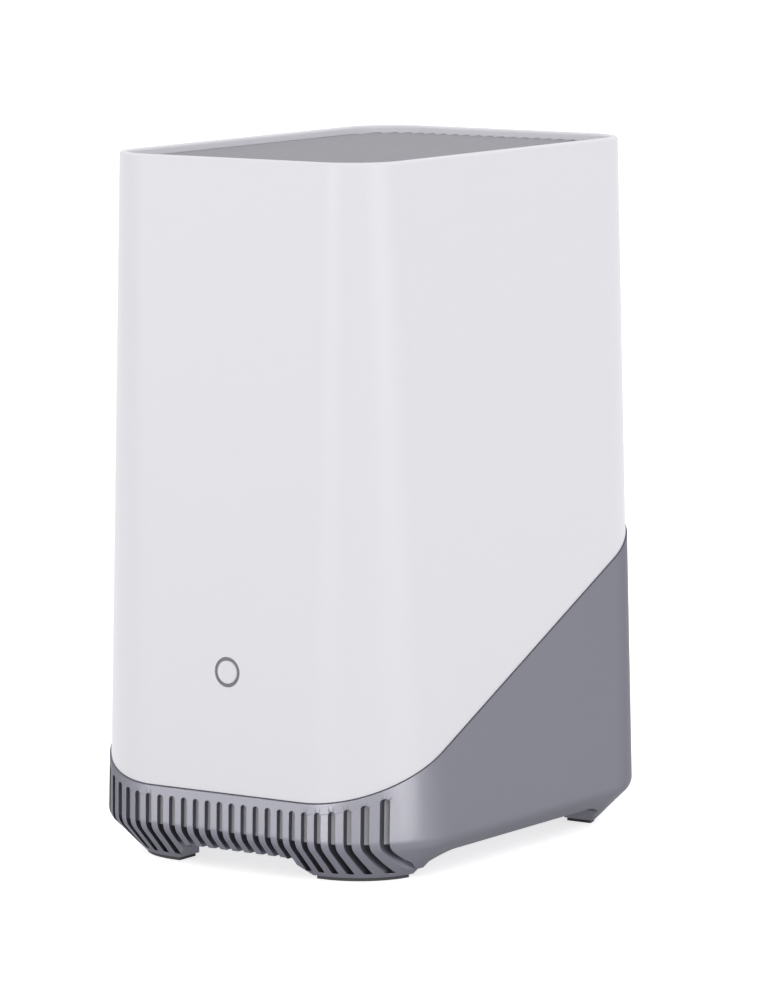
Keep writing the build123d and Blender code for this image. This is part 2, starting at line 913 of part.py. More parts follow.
def frame_screw_places():
    """Places of the four screws that hold the frame to the cage."""
    x = frame_foot_half - screw_head_radius - frame_sheet
    y = cage_length / 3
    middle = cage_back() - cage_length / 2
    return [(sx * x, middle + sy * y) for sx in (-1, 1) for sy in (-1, 1)]


def make_core_frame():
    """Upright frame: foot on the cage, tall plate with windows, end flanges and board bosses."""
    plate_x = board_x - frame_sheet
    middle = cage_back() - cage_length / 2
    frame = block(-frame_foot_half, frame_foot_half, middle - cage_length / 2, middle + cage_length / 2,
                  cage_top, cage_top + frame_sheet)
    frame += block(plate_x - frame_sheet, plate_x, -frame_half, frame_half, cage_top, frame_top)
    tall = frame_top - cage_top
    window_y = frame_half * frame_window_share
    for share in (1 / 4, 3 / 4):
        centre = cage_top + tall * share
        reach = tall * frame_window_share / 4
        frame -= block(plate_x - frame_sheet - overrun, plate_x + overrun, -window_y, window_y,
                       centre - reach, centre + reach)
    for side in (-1, 1):
        y0, y1 = sorted((side * frame_half, side * (frame_half - frame_sheet)))
        frame += block(plate_x - frame_sheet - frame_flange, plate_x, y0, y1, cage_top, frame_top)
    for y, z in board_screw_places():
        frame += rod(plate_x - frame_sheet, y, z, boss_radius, 2 * frame_sheet, (1, 0, 0))
        frame -= rod(plate_x - frame_sheet - overrun, y, z, screw_radius, 2 * (overrun + frame_sheet),
                     (1, 0, 0))
    for x, y in frame_screw_places():
        frame -= rod(x, y, cage_top - overrun, screw_radius + fit_gap, frame_sheet + 2 * overrun, (0, 0, 1))
    return frame


def board_screw_places():
    """Places of the main board's four screws."""
    y = board_half - boss_radius - frame_sheet
    return [
        (sy * y, z)
        for sy in (-1, 1) for z in (board_low + 2 * boss_radius, board_high - 2 * boss_radius)]


def make_main_board():
    """Upright main board."""
    board = block(board_x, board_face, -board_half, board_half, board_low, board_high)
    board += block(board_x, board_face, 0, bay_floor() - bay_wall - loose_gap, board_low, bay_high)
    for y, z in board_screw_places():
        board -= rod(board_x - overrun, y, z, screw_radius + fit_gap, board_thickness + 2 * overrun,
                     (1, 0, 0))
    return board


def make_board_screws():
    """Four screws that hold the main board."""
    return [
        screw(board_face, y, z, screw_radius, board_thickness + frame_sheet, screw_head_radius,
              screw_head, (-1, 0, 0))
        for y, z in board_screw_places()]


def make_frame_screws():
    """Four screws that hold the frame to the cage."""
    return [
        screw(x, y, cage_top + frame_sheet, screw_radius, frame_sheet + cage_sheet, screw_head_radius,
              screw_head, (0, 0, -1))
        for x, y in frame_screw_places()]


def make_processor():
    """Processor package on the main board."""
    return block(board_face, board_face + chip_thickness, chip_y - chip_size / 2, chip_y + chip_size / 2,
                 chip_z - chip_size / 2, chip_z + chip_size / 2)


def make_heat_sink():
    """Finned heat sink on the processor."""
    face = board_face + chip_thickness
    half = sink_size / 2
    sink = block(face, face + sink_base, chip_y - half, chip_y + half, chip_z - half, chip_z + half)
    step = (sink_size - sink_fin_thickness) / (sink_fin_count - 1)
    for i in range(sink_fin_count):
        y = chip_y - half + i * step
        sink += block(face, face + sink_base + sink_fin_height, y, y + sink_fin_thickness,
                      chip_z - half, chip_z + half)
    return sink


def make_shield_can():
    """Tinned can over the radio circuit."""
    can = block(board_face, board_face + can_thickness, can_y - can_width / 2, can_y + can_width / 2,
                can_z - can_height / 2, can_z + can_height / 2)
    lid = [edge for edge in can.edges() if abs(edge.center().X - board_face - can_thickness) < running_gap]
    return fillet(lid, can_thickness / 4)


def make_capacitors():
    """Row of electrolytic capacitors beside the inlet."""
    return [
        rod(board_face, capacitor_y, capacitor_z - i * capacitor_pitch, capacitor_radius,
            capacitor_length, (1, 0, 0))
        for i in range(capacitor_count)]


def make_antennas():
    """Two printed strip antennas on the frame's end flanges."""
    x = board_x - 2 * frame_sheet - frame_flange / 2
    strips = []
    for side in (-1, 1):
        y0, y1 = sorted((side * frame_half, side * (frame_half + antenna_thickness)))
        strips.append(block(x - antenna_width / 2, x + antenna_width / 2, y0, y1,
                            frame_top - antenna_length - frame_sheet, frame_top - frame_sheet))
    return strips


def make_dc_socket():
    """Barrel inlet on the board's edge."""
    mouth = bay_floor()
    low = dc_height - dc_width / 2
    body = block(board_face, board_face + dc_deep, mouth - dc_length, mouth, low, low + dc_width)
    return body - rod(board_face + dc_deep / 2, mouth + overrun, dc_height, dc_bore,
                      dc_bore_depth + overrun, (0, -1, 0))


def make_dc_pin():
    """Centre pin of the inlet."""
    return rod(board_face + dc_deep / 2, bay_floor() - dc_bore_depth, dc_height, dc_pin_radius,
               dc_bore_depth - dc_pin_radius)


def make_usb_socket():
    """Folded steel shell of the serial bus receptacle."""
    mouth = bay_floor()
    low = usb_height - usb_width / 2
    shell = block(board_face, board_face + usb_deep, mouth - usb_length, mouth, low, low + usb_width)
    return shell - block(board_face + usb_shell, board_face + usb_deep - usb_shell,
                         mouth - usb_length + usb_shell,
                         mouth + overrun, low + usb_shell, low + usb_width - usb_shell)


def make_usb_tongue():
    """Plastic tongue inside the receptacle, with its back block."""
    back = bay_floor() - usb_length + usb_shell
    centre = board_face + usb_deep / 2
    half = usb_tongue_width / 2
    root = block(board_face + usb_shell, board_face + usb_deep - usb_shell, back, back + usb_length / 4,
                 usb_height - usb_width / 2 + usb_shell, usb_height + usb_width / 2 - usb_shell)
    return root + block(centre - usb_tongue_thickness / 2, centre + usb_tongue_thickness / 2,
                        back, back + usb_length / 4 + usb_tongue_length, usb_height - half, usb_height + half)


def make_network_socket():
    """Network jack: a block with the plug's mouth, its latch notch and a contact well."""
    mouth = bay_floor()
    low = net_height - net_width / 2
    centre = board_face + net_deep / 2
    body = block(board_face, board_face + net_deep, mouth - net_length, mouth, low, low + net_width)
    body -= block(centre - net_mouth_deep / 2, centre + net_mouth_deep / 2, mouth - net_mouth_length,
                  mouth + overrun, net_height - net_mouth_width / 2, net_height + net_mouth_width / 2)
    body -= block(centre, centre + net_mouth_deep / 2 + net_notch_deep, mouth - net_mouth_length,
                  mouth + overrun, net_height - net_notch_width / 2, net_height + net_notch_width / 2)
    return body


def make_network_contacts():
    """Eight sloping spring contacts in the jack."""
    back = bay_floor() - net_mouth_length
    floor = board_face + net_deep / 2 - net_mouth_deep / 2
    first = net_height - (contact_count - 1) * contact_pitch / 2
    contacts = []
    for i in range(contact_count):
        z = first + i * contact_pitch
        with BuildSketch(Plane.XY.offset(z - contact_width / 2)) as side:
            with BuildLine():
                Polyline((floor, back), (floor + contact_rise, back), (floor, back + contact_length),
                         close=True)
            make_face()
        contacts.append(extrude(side.sketch, contact_width))
    return contacts


def speaker_seat():
    """Height of the speaker's flange underside."""
    return floor_top + speaker_riser


def make_speaker_basket():
    """Speaker frame: a ring flange on four risers and a round basket."""
    seat = speaker_seat()
    flange = rod(0, speaker_y, seat, speaker_radius, speaker_flange, (0, 0, 1))
    flange += rod(0, speaker_y, seat, speaker_cone_radius + speaker_flange, speaker_basket, (0, 0, 1))
    for x, y in speaker_screw_places():
        flange += rod(x, y, floor_top, screw_head_radius, speaker_riser + speaker_flange, (0, 0, 1))
    flange -= rod(0, speaker_y, seat - overrun, speaker_cone_radius,
                  overrun + speaker_basket - speaker_flange,
                  (0, 0, 1))
    for x, y in speaker_screw_places():
        flange -= rod(x, y, floor_top - overrun, small_screw_radius, body_height, (0, 0, 1))
    return flange


def speaker_screw_places():
    """Places of the speaker's four screws."""
    reach = speaker_ear_reach / math.sqrt(2)
    return [(sx * reach, speaker_y + sy * reach) for sx in (-1, 1) for sy in (-1, 1)]


def make_speaker_cone():
    """Shallow cone that fires down at the slots."""
    low = speaker_seat() + speaker_flange
    radius = speaker_cone_radius - running_gap
    cone = Pos(0, speaker_y, low) * Cone(
        radius, radius / 2, speaker_cone_depth, align=(Align.CENTER, Align.CENTER, Align.MIN))
    hollow = Pos(0, speaker_y, low - running_gap) * Cone(
        radius - speaker_flange, radius / 2 - speaker_flange, speaker_cone_depth - speaker_flange,
        align=(Align.CENTER, Align.CENTER, Align.MIN))
    return cone - hollow


def make_speaker_magnet():
    """Magnet on the basket's back."""
    return rod(0, speaker_y, speaker_seat() + speaker_basket, speaker_magnet_radius, speaker_magnet,
               (0, 0, 1))


def make_speaker_screws():
    """Four screws that hold the speaker to the floor."""
    top = speaker_seat() + speaker_flange
    return [
        screw(x, y, top, small_screw_radius - running_gap, speaker_riser + speaker_flange, small_head_radius,
              small_head, (0, 0, -1))
        for x, y in speaker_screw_places()]


nodes = {
    "outer_sleeve": make_outer_sleeve,
    "top_panel": make_top_panel,
    "lower_housing": make_lower_housing,
    "foot_pads": make_foot_pads,
    "vent_baffle": make_vent_baffle,
    "front_button": make_front_button,
    "button_ring": make_button_ring,
    "front_plunger": make_front_plunger,
    "front_switch": make_front_switch,
    "front_board": make_front_board,
    "front_board_screws": make_front_board_screws,
    "ring_lights": make_ring_lights,
    "rear_button": make_rear_button,
    "rear_plunger": make_rear_plunger,
    "rear_switch": make_rear_switch,
    "rear_board": make_rear_board,
    "drive_tray": make_drive_tray,
    "tray_handle": make_tray_handle,
    "handle_pin": make_handle_pin,
    "storage_drive": make_storage_drive,
    "drive_screws": make_drive_screws,
    "drive_cage": make_drive_cage,
    "cage_screws": make_cage_screws,
    "drive_connector": make_drive_connector,
    "core_frame": make_core_frame,
    "frame_screws": make_frame_screws,
    "main_board": make_main_board,
    "board_screws": make_board_screws,
    "processor": make_processor,
    "heat_sink": make_heat_sink,
    "shield_can": make_shield_can,
    "capacitors": make_capacitors,
    "antennas": make_antennas,
    "dc_socket": make_dc_socket,
    "dc_pin": make_dc_pin,
    "usb_socket": make_usb_socket,
    "usb_tongue": make_usb_tongue,
    "network_socket": make_network_socket,
    "network_contacts": make_network_contacts,
    "speaker_basket": make_speaker_basket,
    "speaker_cone": make_speaker_cone,
    "speaker_magnet": make_speaker_magnet,
    "speaker_screws": make_speaker_screws,
}


def solids_of(shape):
    """All solids of a shape or of a list of shapes."""
    if isinstance(shape, (list, tuple)):
        return [solid for item in shape for solid in solids_of(item)]
    return list(shape.solids())


os.makedirs("parts", exist_ok=True)
for name, make in nodes.items():
    solids = solids_of(make())
    node = solids[0] if len(solids) == 1 else Compound(children=solids)
    node.label = name
    export_step(node, f"parts/{name}.step")
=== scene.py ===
"""Looks of a security camera base station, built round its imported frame.

Metres, +Z up, front towards -Y. The origin is on the ground, under the centre of the body.
"""

import logging
import math
from dataclasses import dataclass, field
from enum import Enum

import bmesh
import bpy
from mathutils import Matrix, Vector


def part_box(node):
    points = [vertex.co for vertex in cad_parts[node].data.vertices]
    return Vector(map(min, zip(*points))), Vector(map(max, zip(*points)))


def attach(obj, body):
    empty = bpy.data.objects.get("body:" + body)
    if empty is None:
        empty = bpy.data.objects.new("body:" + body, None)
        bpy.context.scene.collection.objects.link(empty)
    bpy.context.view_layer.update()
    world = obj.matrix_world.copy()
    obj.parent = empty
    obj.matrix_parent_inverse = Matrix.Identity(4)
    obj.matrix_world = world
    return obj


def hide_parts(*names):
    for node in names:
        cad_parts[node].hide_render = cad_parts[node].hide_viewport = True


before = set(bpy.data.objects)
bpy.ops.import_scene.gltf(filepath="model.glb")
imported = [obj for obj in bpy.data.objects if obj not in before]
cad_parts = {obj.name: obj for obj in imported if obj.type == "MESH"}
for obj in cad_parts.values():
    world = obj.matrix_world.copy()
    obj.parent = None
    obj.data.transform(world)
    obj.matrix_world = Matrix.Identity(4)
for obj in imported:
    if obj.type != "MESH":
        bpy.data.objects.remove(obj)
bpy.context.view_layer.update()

log = logging.getLogger("base_station")

Colour = tuple[float, float, float]
MM = 0.001
CLOSE = 1e-6
LAMP_WHITE = (1.0, 1.0, 1.0)
CARD_WHITE = (1.0, 0.99, 0.87)
MIX_FIRST, MIX_SECOND, MIX_RESULT = 6, 7, 2  # the Mix node's colour sockets
SMOOTH_UNDER = 32.0
LARGE_FACE_WEIGHT = 80


class Grain(Enum):
    """How a surface's fine relief runs."""

    EVEN = (1.0, 1.0, 1.0)
    ALONG_Y = (1.0, 0.04, 1.0)
    ALONG_Z = (1.0, 1.0, 0.04)


class Join(Enum):
    """What a tool does to a piece."""

    ADD = "UNION"
    CUT = "DIFFERENCE"


@dataclass(frozen=True)
class Finish:
    """One surface finish, made of noise on Object coordinates.

    Sizes are in metres: `grain_size` is the width of the fine relief and `grain_depth` its height.
    `fine_detail` and `cloud_detail` are the octaves of the two noises.
    `mottle` is the share by which the colour drifts, and `gloss_drift` what the roughness drifts by.
    `edge` is how bright a metal's reflection stays where it is seen at a grazing angle.
    """

    name: str
    colour: Colour
    roughness: float
    metallic: float = 0.0
    specular: float = 0.5
    edge: float = 1.0
    coat: float = 0.0
    grain_size: float = 0.35 * MM
    grain_depth: float = 0.006 * MM
    cloud_size: float = 24 * MM
    fine_detail: float = 3.0
    cloud_detail: float = 4.0
    mottle: float = 0.015
    gloss_drift: float = 0.04
    grain: Grain = Grain.EVEN

    def shade(self, share: float) -> tuple[float, float, float, float]:
        """The colour made lighter or darker by a share."""
        return tuple(min(1.0, part * (1 + share)) for part in self.colour) + (1.0,)

    def make(self) -> bpy.types.Material:
        """Build the node material.

        Returns:
            The finished material.
        """
        material = bpy.data.materials.new(self.name)
        material.use_nodes = True
        nodes = material.node_tree.nodes
        links = material.node_tree.links
        shader = nodes["Principled BSDF"]
        place = nodes.new("ShaderNodeTexCoord")
        turn = nodes.new("ShaderNodeMapping")
        turn.inputs["Scale"].default_value = self.grain.value
        links.new(place.outputs["Object"], turn.inputs["Vector"])

        fine = nodes.new("ShaderNodeTexNoise")
        fine.inputs["Scale"].default_value = 1 / self.grain_size
        fine.inputs["Detail"].default_value = self.fine_detail
        links.new(turn.outputs["Vector"], fine.inputs["Vector"])
        cloud = nodes.new("ShaderNodeTexNoise")
        cloud.inputs["Scale"].default_value = 1 / self.cloud_size
        cloud.inputs["Detail"].default_value = self.cloud_detail
        links.new(place.outputs["Object"], cloud.inputs["Vector"])

        tint = nodes.new("ShaderNodeMix")
        tint.data_type = "RGBA"
        tint.inputs[MIX_FIRST].default_value = self.shade(-self.mottle)
        tint.inputs[MIX_SECOND].default_value = self.shade(self.mottle)
        links.new(cloud.outputs["Fac"], tint.inputs["Factor"])
        links.new(tint.outputs[MIX_RESULT], shader.inputs["Base Color"])

        gloss = nodes.new("ShaderNodeMapRange")
        gloss.inputs["To Min"].default_value = max(0.0, self.roughness - self.gloss_drift)
        gloss.inputs["To Max"].default_value = min(1.0, self.roughness + self.gloss_drift)
        links.new(fine.outputs["Fac"], gloss.inputs["Value"])
        links.new(gloss.outputs["Result"], shader.inputs["Roughness"])

        relief = nodes.new("ShaderNodeBump")
        relief.inputs["Distance"].default_value = self.grain_depth
        links.new(fine.outputs["Fac"], relief.inputs["Height"])
        links.new(relief.outputs["Normal"], shader.inputs["Normal"])

        shader.inputs["Metallic"].default_value = self.metallic
        shader.inputs["Specular IOR Level"].default_value = self.specular
        shader.inputs["Specular Tint"].default_value = (self.edge, self.edge, self.edge, 1.0)
        shader.inputs["Coat Weight"].default_value = self.coat
        return material


WHITE_SHELL = Finish(
    "white_shell", (0.8, 0.794, 0.838), 0.42, specular=0.3, edge=0.6, grain_depth=0.003 * MM,
    mottle=0.004)
SILVER_PAINT = Finish(
    "silver_paint", (0.188, 0.188, 0.224), 0.37, metallic=0.85, edge=0.45, grain_depth=0.003 * MM)
PANEL_GREY = Finish("panel_grey", (0.27, 0.267, 0.3), 0.5, metallic=0.2)
PAD_RUBBER = Finish("pad_rubber", (0.05, 0.05, 0.056), 0.8, grain_depth=0.02 * MM)
BUTTON_WHITE = Finish("button_white", (0.74, 0.735, 0.78), 0.3, grain_depth=0.002 * MM)
RING_SMOKE = Finish("ring_smoke", (0.12, 0.12, 0.14), 0.35, coat=0.3)
BAFFLE_GREY = Finish("baffle_grey", (0.34, 0.34, 0.37), 0.6)
BLACK_PLASTIC = Finish("black_plastic", (0.02, 0.02, 0.022), 0.5)
FRAME_PLASTIC = Finish("frame_plastic", (0.09, 0.09, 0.1), 0.55)
SOLDER_MASK = Finish("solder_mask", (0.01, 0.09, 0.035), 0.35, coat=0.4, cloud_size=5 * MM, mottle=0.2)
SHEET_STEEL = Finish(
    "sheet_steel", (0.55, 0.56, 0.58), 0.32, metallic=1.0, cloud_size=6 * MM, mottle=0.08)
SCREW_STEEL = Finish("screw_steel", (0.42, 0.42, 0.44), 0.3, metallic=1.0)
SINK_ALUMINIUM = Finish("sink_aluminium", (0.62, 0.63, 0.65), 0.36, metallic=1.0, grain=Grain.ALONG_Z)
DRIVE_ALUMINIUM = Finish("drive_aluminium", (0.52, 0.53, 0.55), 0.3, metallic=1.0, grain=Grain.ALONG_Y)
CONTACT_GOLD = Finish("contact_gold", (0.85, 0.6, 0.22), 0.22, metallic=1.0)
LIGHT_LENS = Finish("light_lens", (0.8, 0.82, 0.7), 0.2)
FERRITE = Finish("ferrite", (0.05, 0.05, 0.055), 0.6, grain_depth=0.02 * MM)
CONE_PAPER = Finish("cone_paper", (0.06, 0.06, 0.06), 0.85, grain_depth=0.03 * MM)

NODE_FINISHES = {
    WHITE_SHELL: ["outer_sleeve"],
    SILVER_PAINT: ["lower_housing", "drive_tray", "tray_handle", "rear_button"],
    BAFFLE_GREY: ["vent_baffle"],
    PANEL_GREY: ["top_panel"],
    PAD_RUBBER: ["foot_pads"],
    BUTTON_WHITE: ["front_button"],
    RING_SMOKE: ["button_ring"],
    BLACK_PLASTIC: [
        "front_plunger", "front_switch", "rear_plunger", "rear_switch", "drive_connector", "processor",
        "dc_socket", "usb_tongue", "network_socket"],
    FRAME_PLASTIC: ["core_frame", "speaker_basket"],
    SOLDER_MASK: ["front_board", "rear_board", "main_board", "antennas"],
    SHEET_STEEL: ["drive_cage", "shield_can", "usb_socket"],
    SCREW_STEEL: [
        "front_board_screws", "handle_pin", "drive_screws", "cage_screws", "frame_screws",
        "board_screws", "speaker_screws"],
    SINK_ALUMINIUM: ["heat_sink"],
    DRIVE_ALUMINIUM: ["storage_drive", "capacitors"],
    CONTACT_GOLD: ["dc_pin", "network_contacts"],
    LIGHT_LENS: ["ring_lights"],
    FERRITE: ["speaker_magnet"],
    CONE_PAPER: ["speaker_cone"],
}


class Wardrobe:
    """Makes each finish once and hands it out."""

    def __init__(self) -> None:
        """Start with no material made."""
        self.made: dict[Finish, bpy.types.Material] = {}

    def get(self, finish: Finish) -> bpy.types.Material:
        """The material of a finish."""
        if finish not in self.made:
            self.made[finish] = finish.make()
        return self.made[finish]

    def dress(self, piece: bpy.types.Object, finish: Finish) -> None:
        """Give a whole object one finish.

        Args:
            piece: A mesh object, a CAD node among them.
            finish: The finish that it gets.
        """
        material = self.get(finish)
        if not piece.material_slots:
            piece.data.materials.append(material)
        for slot in piece.material_slots:
            slot.material = material


def to_object(bm: bmesh.types.BMesh, name: str) -> bpy.types.Object:
    """Turn a finished bmesh into an object at the origin.

    Args:
        bm: The mesh, which is freed.
        name: The object's name.

    Returns:
        The new object, linked to the scene.
    """
    mesh = bpy.data.meshes.new(name)
    bm.to_mesh(mesh)
    bm.free()
    piece = bpy.data.objects.new(name, mesh)
    bpy.context.scene.collection.objects.link(piece)
    return piece


def bake_modifiers(piece: bpy.types.Object) -> None:
    """Apply all modifiers of a piece to its mesh."""
    bpy.context.view_layer.update()
    evaluated = piece.evaluated_get(bpy.context.evaluated_depsgraph_get())
    mesh = bpy.data.meshes.new_from_object(evaluated)
    mesh.name = piece.name
    piece.modifiers.clear()
    piece.data = mesh


def combine(piece: bpy.types.Object, tools: list[bpy.types.Object], join: Join) -> None:
    """Cut tools out of a piece, or join them to it.

    Args:
        piece: The object that is changed.
        tools: Closed objects, which are removed afterwards.
        join: Whether they are added or cut out.
    """
    for tool in tools:
        step = piece.modifiers.new(tool.name, "BOOLEAN")
        step.operation = join.value
        step.solver = "EXACT"
        step.object = tool
    bake_modifiers(piece)
    for tool in tools:
        bpy.data.objects.remove(tool)


def cylinder(
        name: str, start: Vector, end: Vector, radius: float, segments: int = 48) -> bpy.types.Object:
    """A closed cylinder between two points.

    Args:
        name: The object's name.
        start: Centre of one end.
        end: Centre of the other end.
        radius: Its radius.
        segments: Sides round it.

    Returns:
        The new object.
    """
    bm = bmesh.new()
    run = end - start
    turn = run.to_track_quat("Z", "Y").to_matrix().to_4x4()
    place = Matrix.Translation((start + end) / 2) @ turn
    bmesh.ops.create_cone(
        bm, cap_ends=True, segments=segments, radius1=radius, radius2=radius, depth=run.length,
        matrix=place)
    return to_object(bm, name)


def smooth(piece: bpy.types.Object) -> None:
    """Shade a piece smooth, with steep edges kept sharp and normals that favour large faces.

    Args:
        piece: The mesh object.
    """
    piece.data.shade_smooth()
    piece.data.set_sharp_from_angle(angle=math.radians(SMOOTH_UNDER))
    weigh = piece.modifiers.new("even_normals", "WEIGHTED_NORMAL")
    weigh.keep_sharp = True
    weigh.weight = LARGE_FACE_WEIGHT
    bake_modifiers(piece)


def direction(azimuth: float, elevation: float) -> Vector:
    """The direction to a place round the object.

    Args:
        azimuth: Its angle from the front, in radians.
        elevation: Its angle above the floor, in radians.

    Returns:
        A vector of length one.
    """
    level = math.cos(elevation)
    return Vector((math.sin(azimuth) * level, -math.cos(azimuth) * level, math.sin(elevation)))


@dataclass(frozen=True)
class BodyForm:
    """The tapered body: one rounded rectangle at the chamfer and one at the lip."""

    height: float = 206 * MM
    lip: tuple[float, float, float] = (47.9 * MM, 72.8 * MM, 17.5 * MM)
    base: tuple[float, float, float] = (56.8 * MM, 76.5 * MM, 30.9 * MM)
    chamfer: float = 11.4 * MM
    corner_segments: int = 24
    seam_front: float = 23.5 * MM
    seam_angle: float = 24.6

    def sizes(self, z: float) -> tuple[float, float, float]:
        """Half width, half depth and corner radius of the wall at a height."""
        share = (z - self.chamfer) / (self.height - self.chamfer)
        return tuple(low + (high - low) * share for low, high in zip(self.base, self.lip))

    def front(self, z: float) -> float:
        """Y of the flat front wall at a height."""
        return -self.sizes(z)[1]

    def seam_point(self, rise: float = 0.0) -> Vector:
        """A point on the seam plane, which may be raised."""
        return Vector((0.0, -self.base[1], self.seam_front + rise))

    def seam_normal(self) -> Vector:
        """The seam plane's upward normal."""
        angle = math.radians(self.seam_angle)
        return Vector((0.0, -math.sin(angle), math.cos(angle)))

    def loop(self, bm: bmesh.types.BMesh, z: float, inset: float) -> list[bmesh.types.BMEdge]:
        """Add the body's outline at a height as a closed loop of edges.

        Args:
            bm: The mesh that it is added to.
            z: Its height.
            inset: How far it is drawn in.

        Returns:
            The loop's edges.
        """
        half_width, half_depth, radius = self.sizes(z)
        known = set(bm.edges)
        corners = bmesh.ops.create_grid(bm, x_segments=1, y_segments=1, size=1.0)["verts"]
        bmesh.ops.scale(bm, vec=(half_width - inset, half_depth - inset, 1.0), verts=corners)
        bmesh.ops.translate(bm, vec=(0.0, 0.0, z), verts=corners)
        bmesh.ops.bevel(
            bm, geom=corners, offset=radius - inset, offset_type="OFFSET", segments=self.corner_segments,
            profile=0.5, affect="VERTICES", clamp_overlap=False, material=-1)
        edges = [edge for edge in bm.edges if edge not in known]
        faces = list({face for edge in edges for face in edge.link_faces})
        bmesh.ops.delete(bm, geom=faces, context="FACES_ONLY")
        return edges

    def band(self, bm: bmesh.types.BMesh, low: float, high: float, outer: float, inner: float) -> None:
        """Add a closed band that runs round the body.

        Args:
            bm: The mesh that it is added to.
            low: Its lower height.
            high: Its upper height.
            outer: How far its outer wall is drawn in.
            inner: How far its inner wall is drawn in.
        """
        chain = [(low, outer), (high, outer), (high, inner), (low, inner)]
        loops = [self.loop(bm, z, inset) for z, inset in chain]
        for first, second in zip(loops, loops[1:] + loops[:1]):
            bmesh.ops.bridge_loops(bm, edges=first + second)
        bmesh.ops.recalc_face_normals(bm, faces=bm.faces)


@dataclass
class Sleeve:
    """The white sleeve over the body, with its lip, ledge and button hole."""

    form: BodyForm
    step: float = 0.5 * MM
    wall: float = 2.2 * MM
    lip_round: float = 0.9 * MM
    lip_segments: int = 6
    seam_gap: float = 0.08 * MM
    seam_round: float = 0.12 * MM
    seam_segments: int = 3
    steep: float = 1.0
    ledge_height: float = 201.3 * MM
    ledge_width: float = 2.0 * MM
    ledge_thickness: float = 1.6 * MM
    bottom: float = 13.0 * MM
    hole_height: float = 59 * MM
    hole_radius: float = 4.38 * MM
    hole_reach: float = 10 * MM
    hole_segments: int = 96
    post_spread: float = 12 * MM
    post_radius: float = 2.6 * MM

    def build(self, wardrobe: Wardrobe) -> bpy.types.Object:
        """Model the sleeve and dress it.

        Args:
            wardrobe: Hands out the finishes.

        Returns:
            The sleeve, in place of its CAD node.
        """
        bm = bmesh.new()
        self.form.band(bm, self.bottom, self.form.height, self.step, self.step + self.wall)
        self.cut_seam(bm)
        self.round_edges(bm)
        piece = to_object(bm, "sleeve_shell")
        face = self.form.front(self.hole_height) + self.step
        combine(piece, [self.ledge(), *self.posts(face)], Join.ADD)
        start = Vector((0.0, face - self.hole_reach, self.hole_height))
        end = Vector((0.0, face + self.hole_reach, self.hole_height))
        hole = cylinder("button_hole", start, end, self.hole_radius, self.hole_segments)
        combine(piece, [hole], Join.CUT)
        smooth(piece)
        wardrobe.dress(piece, WHITE_SHELL)
        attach(piece, "base")
        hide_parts("outer_sleeve")
        return piece

    def cut_seam(self, bm: bmesh.types.BMesh) -> None:
        """Cut the shell along the slanted seam and close the cut.

        Args:
            bm: The shell's mesh.
        """
        everything = bm.verts[:] + bm.edges[:] + bm.faces[:]
        bmesh.ops.bisect_plane(
            bm, geom=everything, plane_co=self.form.seam_point(self.seam_gap),
            plane_no=self.form.seam_normal(), clear_inner=True)
        rim = [edge for edge in bm.edges if edge.is_boundary]
        bmesh.ops.bridge_loops(bm, edges=rim)
        bmesh.ops.recalc_face_normals(bm, faces=bm.faces)

    def round_edges(self, bm: bmesh.types.BMesh) -> None:
        """Round the lip and ease the seam's edge.

        Args:
            bm: The shell's mesh.
        """
        top = [
            edge for edge in bm.edges
            if min(vert.co.z for vert in edge.verts) > self.form.height - CLOSE
            and edge.calc_face_angle(0.0) > self.steep]
        bmesh.ops.bevel(
            bm, geom=top, offset=self.lip_round, offset_type="OFFSET", segments=self.lip_segments,
            profile=0.5, affect="EDGES", clamp_overlap=True, material=-1)
        point = self.form.seam_point(self.seam_gap)
        normal = self.form.seam_normal()
        low = [
            edge for edge in bm.edges
            if max(abs((vert.co - point).dot(normal)) for vert in edge.verts) < CLOSE
            and edge.calc_face_angle(0.0) > self.steep]
        bmesh.ops.bevel(
            bm, geom=low, offset=self.seam_round, offset_type="OFFSET", segments=self.seam_segments,
            profile=0.5, affect="EDGES", clamp_overlap=True, material=-1)

    def ledge(self) -> bpy.types.Object:
        """Model the ledge that carries the top panel.

        Returns:
            The ledge, rooted in the wall.
        """
        bm = bmesh.new()
        root = self.step + self.wall / 2
        shelf = self.step + self.wall + self.ledge_width
        self.form.band(bm, self.ledge_height - self.ledge_thickness, self.ledge_height, root, shelf)
        return to_object(bm, "ledge")

    def posts(self, face: float) -> list[bpy.types.Object]:
        """The two posts that carry the button board.

        Args:
            face: Y of the sleeve's front face at the button.

        Returns:
            Both posts.
        """
        posts = []
        for side in (-1, 1):
            start = Vector((side * self.post_spread, face + self.wall / 2, self.hole_height))
            end = Vector((side * self.post_spread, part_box("front_board")[0].y, self.hole_height))
            posts.append(cylinder("post", start, end, self.post_radius))
        return posts


